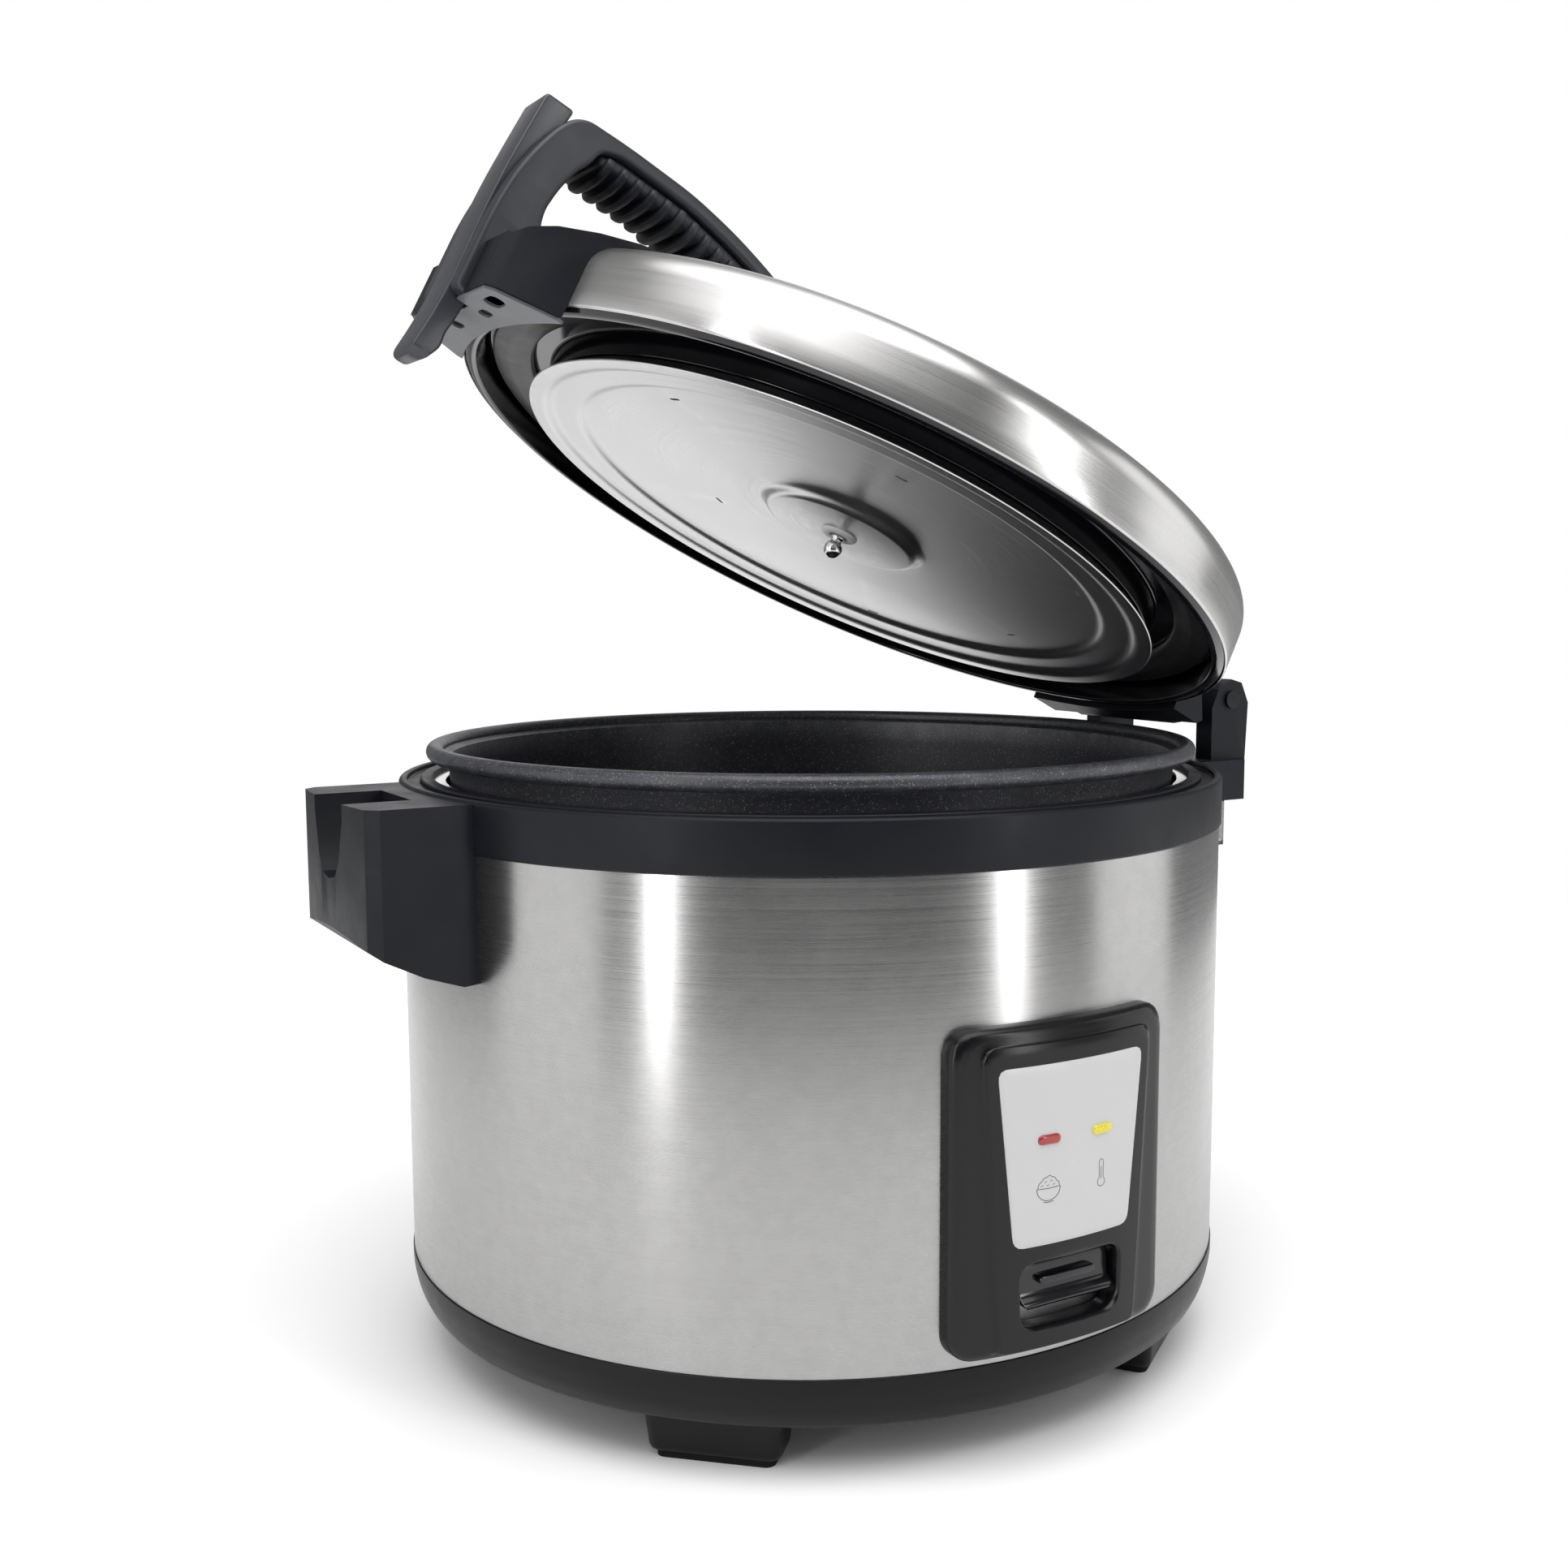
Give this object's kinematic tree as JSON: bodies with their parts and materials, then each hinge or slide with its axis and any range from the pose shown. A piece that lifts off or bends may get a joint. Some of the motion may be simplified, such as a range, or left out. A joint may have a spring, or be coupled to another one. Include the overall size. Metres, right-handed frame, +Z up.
{
  "type": "commercial rice cooker",
  "caption": "Large round electric rice cooker with a brushed steel body, hinged lid standing open, lift-out pot, front latch with carrying handle and a switch panel.",
  "frame": {"origin": "on the axis of the round body, on the surface that the feet stand on", "axes": "+Z up; the control panel faces -Y; the latch and handle are at -X and the lid hinge at +X"},
  "size_m": [0.4641, 0.3995, 0.5478],
  "materials": {
    "base_plastic": "fine satin",
    "board": "glass epoxy",
    "body_plastic": "fine matte grain",
    "brass_pins": "plain",
    "cast_aluminium": "cast and turned",
    "cast_iron_magnet": "sintered ferrite",
    "ceramic_white": "glazed ceramic sleeve",
    "chamber_steel": "polished",
    "clear_plastic": "clear plastic",
    "clear_silicone": "translucent silicone",
    "dish_metal": "satin anodised",
    "element_steel": "oxidised",
    "foot_rubber": "matte",
    "galvanised": "galvanised sheet",
    "gasket_rubber": "satin silicone",
    "glass_wool": "glass fibre",
    "gloss_black": "gloss",
    "grey_plastic": "satin",
    "grip_rubber": "matte ribbed",
    "heater_rubber": "silicone mat",
    "label_silver": "satin printed foil",
    "lens_amber": "tinted",
    "lens_red": "tinted",
    "liner_aluminium": "plain sheet",
    "nonstick": "speckled non-stick coat",
    "pin_steel": "ground",
    "screw_steel": "zinc plated",
    "spring_steel": "spring wire",
    "steel": "brushed round the body",
    "terminal_plastic": "plain"
  },
  "bodies": {
    "base": {"outer_shell": "steel", "base_ring": "base_plastic", "bottom_plate": "galvanised", "base_screws": "screw_steel", "foot_1": "base_plastic", "foot_2": "base_plastic", "foot_3": "base_plastic", "foot_4": "base_plastic", "foot_pads": "foot_rubber", "collar": "body_plastic", "latch_block": "body_plastic", "catch_pin": "pin_steel", "latch_block_screws": "screw_steel", "hinge_housing": "body_plastic", "hinge_pin": "pin_steel", "hinge_springs": "spring_steel", "cup_bracket": "body_plastic", "inner_casing": "chamber_steel", "casing_stands": "galvanised", "heating_plate": "cast_aluminium", "heater_element": "element_steel", "sidewall_heater": "heater_rubber", "insulation_sleeve": "glass_wool", "sensor_bracket": "galvanised", "sensor_spring": "spring_steel", "thermal_fuse": "ceramic_white", "terminal_block": "terminal_plastic", "control_bezel": "gloss_black", "label_plate": "label_silver", "cook_lamp_lens": "lens_red", "warm_lamp_lens": "lens_amber", "lamp_board": "board", "switch_bracket": "galvanised", "lever_pivot_pin": "pin_steel", "micro_switch": "terminal_plastic", "power_inlet": "base_plastic", "inlet_pins": "brass_pins"},
    "lid": {"lid_cover": "steel", "lid_ring": "gloss_black", "lid_liner": "liner_aluminium", "lid_gasket": "gasket_rubber", "dish_stud": "pin_steel", "steam_vent": "base_plastic", "lid_front_block": "body_plastic", "front_block_cover": "grey_plastic", "lid_handle": "body_plastic", "grip_insert": "grip_rubber", "latch_pivot_pin": "pin_steel", "lid_hinge_arm": "body_plastic"},
    "latch_lever": {"latch_lever": "body_plastic"},
    "vent_cap": {"vent_cap": "base_plastic"},
    "inner_lid": {"inner_lid": "dish_metal", "dish_grommet": "clear_silicone"},
    "cook_lever": {"cook_lever": "gloss_black"},
    "magnet": {"thermostat_magnet": "cast_iron_magnet"},
    "pot": {"inner_pot": "nonstick"},
    "sensor": {"sensor_plunger": "cast_aluminium"},
    "cup": {"condensate_cup": "clear_plastic"}
  },
  "joints": [
    {"name": "lid_hinge", "type": "hinge", "parent": "base", "child": "lid", "pos_m": [0.2223, 0, 0.2879], "axis": [0, 1, 0], "range_deg": [-27.1, 45]},
    {"name": "latch_lever_pivot", "type": "hinge", "parent": "lid", "child": "latch_lever", "pos_m": [-0.15505, 0, 0.49684], "axis": [0, 1, 0], "range_deg": [0, 7], "stiffness_Nm_per_rad": 1.2, "springref_deg": -6.88},
    {"name": "cook_lever_pivot", "type": "hinge", "parent": "base", "child": "cook_lever", "pos_m": [0, -0.11, 0.036], "axis": [1, 0, 0], "range_deg": [0, 4], "stiffness_Nm_per_rad": 3, "springref_deg": -5.73},
    {"name": "magnet_slide", "type": "slide", "parent": "base", "child": "magnet", "axis": [0, 0, 1], "range_m": [0, 0.0079]},
    {"name": "pot_lift", "type": "slide", "parent": "base", "child": "pot", "axis": [0, 0, 1], "range_m": [0, 0.006]},
    {"name": "sensor_slide", "type": "slide", "parent": "base", "child": "sensor", "axis": [0, 0, 1], "range_m": [0, 0.006], "deforming": ["sensor_spring"]},
    {"name": "inner_lid_pull", "type": "slide", "parent": "lid", "child": "inner_lid", "axis": [-0.4555, 0, -0.8902], "range_m": [0, 0.02]},
    {"name": "cup_slide", "type": "slide", "parent": "base", "child": "cup", "axis": [1, 0, 0], "range_m": [0, 0.03]},
    {"name": "vent_cap_pull", "type": "slide", "parent": "lid", "child": "vent_cap", "axis": [0.4555, 0, 0.8902], "range_m": [0, 0.012]}
  ],
  "couplings": [
    {"joint": "magnet_slide", "follows": "cook_lever_pivot", "m_per_rad": 0.113},
    {"joint": "sensor_slide", "follows": "pot_lift", "ratio": 1}
  ]
}
